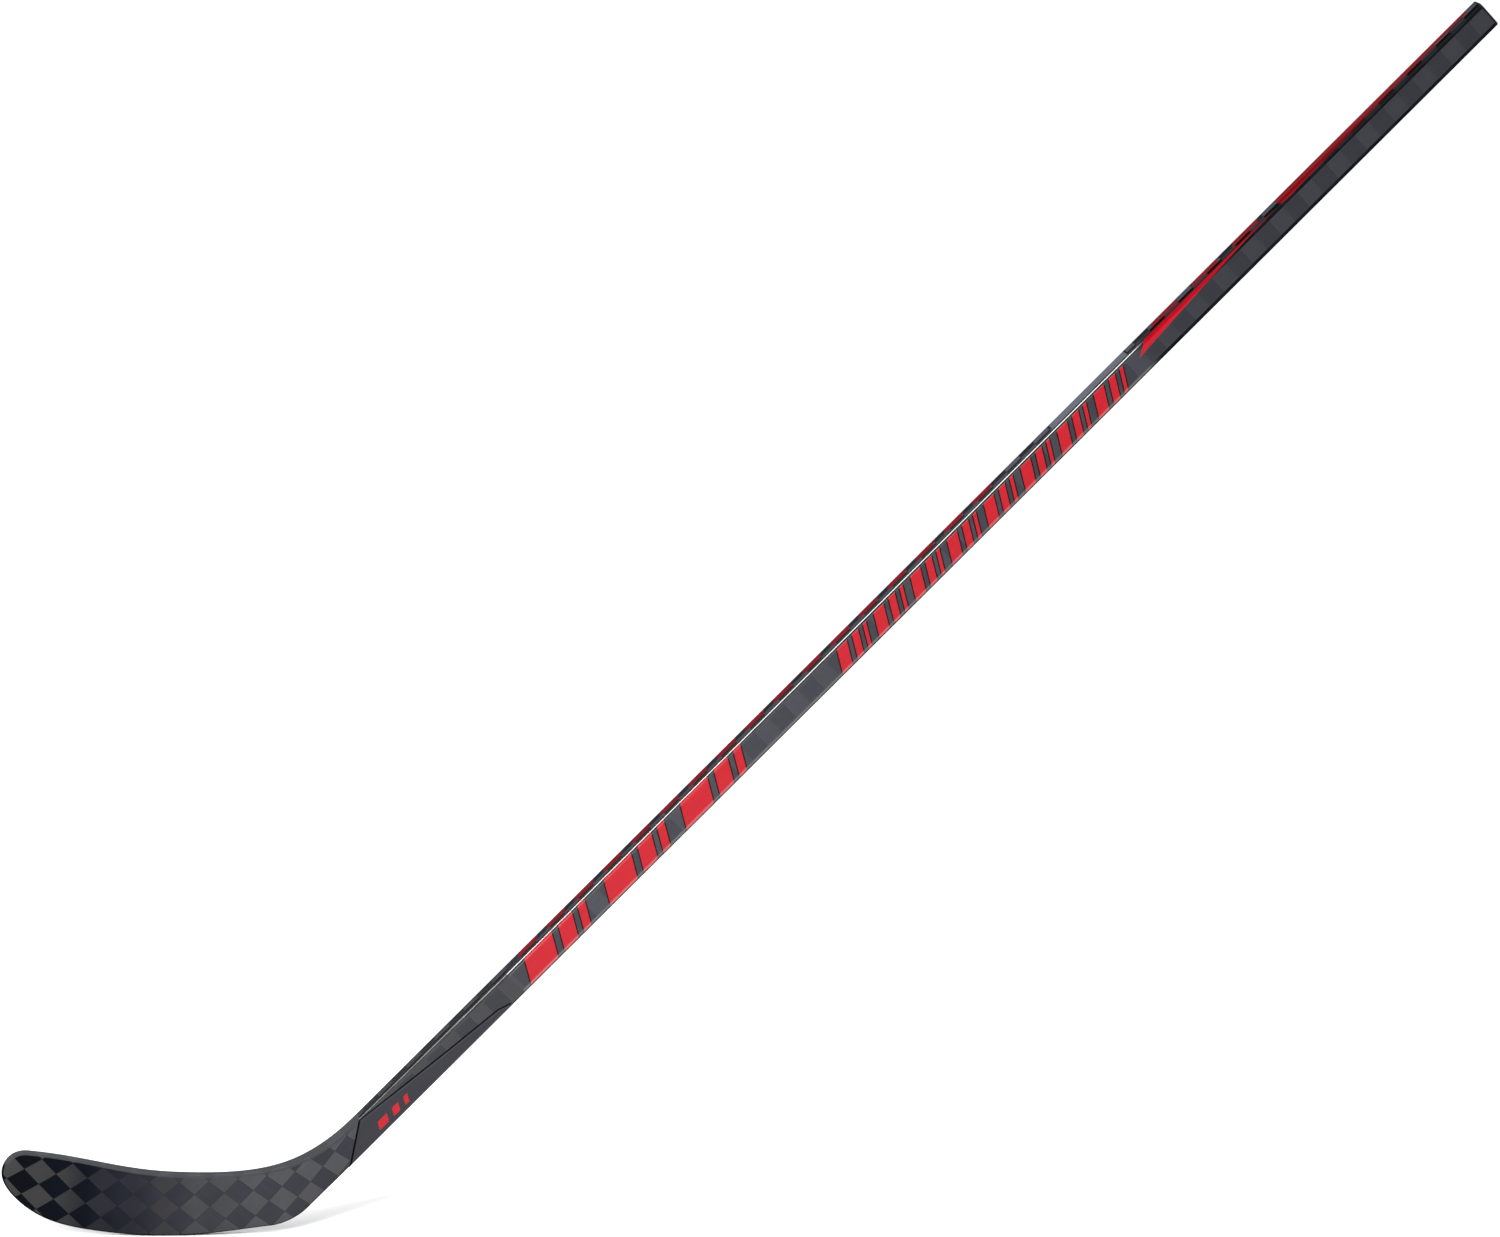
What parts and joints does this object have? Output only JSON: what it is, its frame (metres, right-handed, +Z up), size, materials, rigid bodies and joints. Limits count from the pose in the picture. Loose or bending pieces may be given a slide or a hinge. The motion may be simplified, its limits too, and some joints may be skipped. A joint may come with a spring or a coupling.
{
  "type": "ice hockey stick",
  "caption": "Left-handed composite ice hockey stick: hollow rectangular shaft, tapered hosel and a curved, foam-cored blade.",
  "frame": {"origin": "in the middle of the shaft's lower narrow side, 587 mm up the shaft from the heel corner, under the balance point, at the balance_rest mount", "axes": "+Z up with the blade's sole level; +X from the toe towards the butt end, with the shaft rising at 45 degrees; +Y from the backhand side to the forehand side"},
  "size_m": [1.4124, 0.0471, 1.1709],
  "materials": {
    "shaft_weave": "clear-coated spread-tow carbon",
    "hosel_weave": "satin spread-tow carbon",
    "blade_weave": "satin spread-tow carbon",
    "hosel_patch": "smooth satin ply",
    "edge_band": "satin fibre rim",
    "fibre_inside": "bare carbon laminate",
    "tenon_core": "dense foam",
    "foam": "structural foam",
    "adhesive": "cured epoxy",
    "cap_plastic": "moulded, lightly textured",
    "print_red": "printed film under clear coat",
    "print_deep_red": "printed film under clear coat",
    "print_dark": "printed film under clear coat",
    "label_film": "printed label under clear coat"
  },
  "bodies": {
    "root": {"shaft_outer_ply": "shaft_weave", "shaft_tube": "fibre_inside", "shaft_foam_dam": "foam", "butt_end_cap": "cap_plastic", "hosel_sleeve": "hosel_weave", "hosel_tenon": "tenon_core", "hosel_bond_line": "adhesive", "hosel_patch_backhand": "hosel_patch", "hosel_patch_forehand": "hosel_patch", "hosel_print_backhand": "print_red", "hosel_print_forehand": "print_red", "blade_edge_band": "edge_band", "blade_ply_backhand": "blade_weave", "blade_ply_forehand": "blade_weave", "blade_skin_backhand": "fibre_inside", "blade_skin_forehand": "fibre_inside", "blade_core_rib": "fibre_inside", "blade_core_upper": "foam", "blade_core_lower": "foam", "key_lines_backhand": "print_dark", "key_lines_forehand": "print_dark", "block_print_backhand": "print_red", "block_print_forehand": "print_red", "mark_print_backhand": "print_red", "mark_print_forehand": "print_red", "wedge_print_backhand": "print_red", "wedge_print_forehand": "print_red", "top_dashes": "print_deep_red", "top_stripe": "print_red", "info_label": "label_film", "label_end_line": "print_dark"}
  },
  "joints": []
}
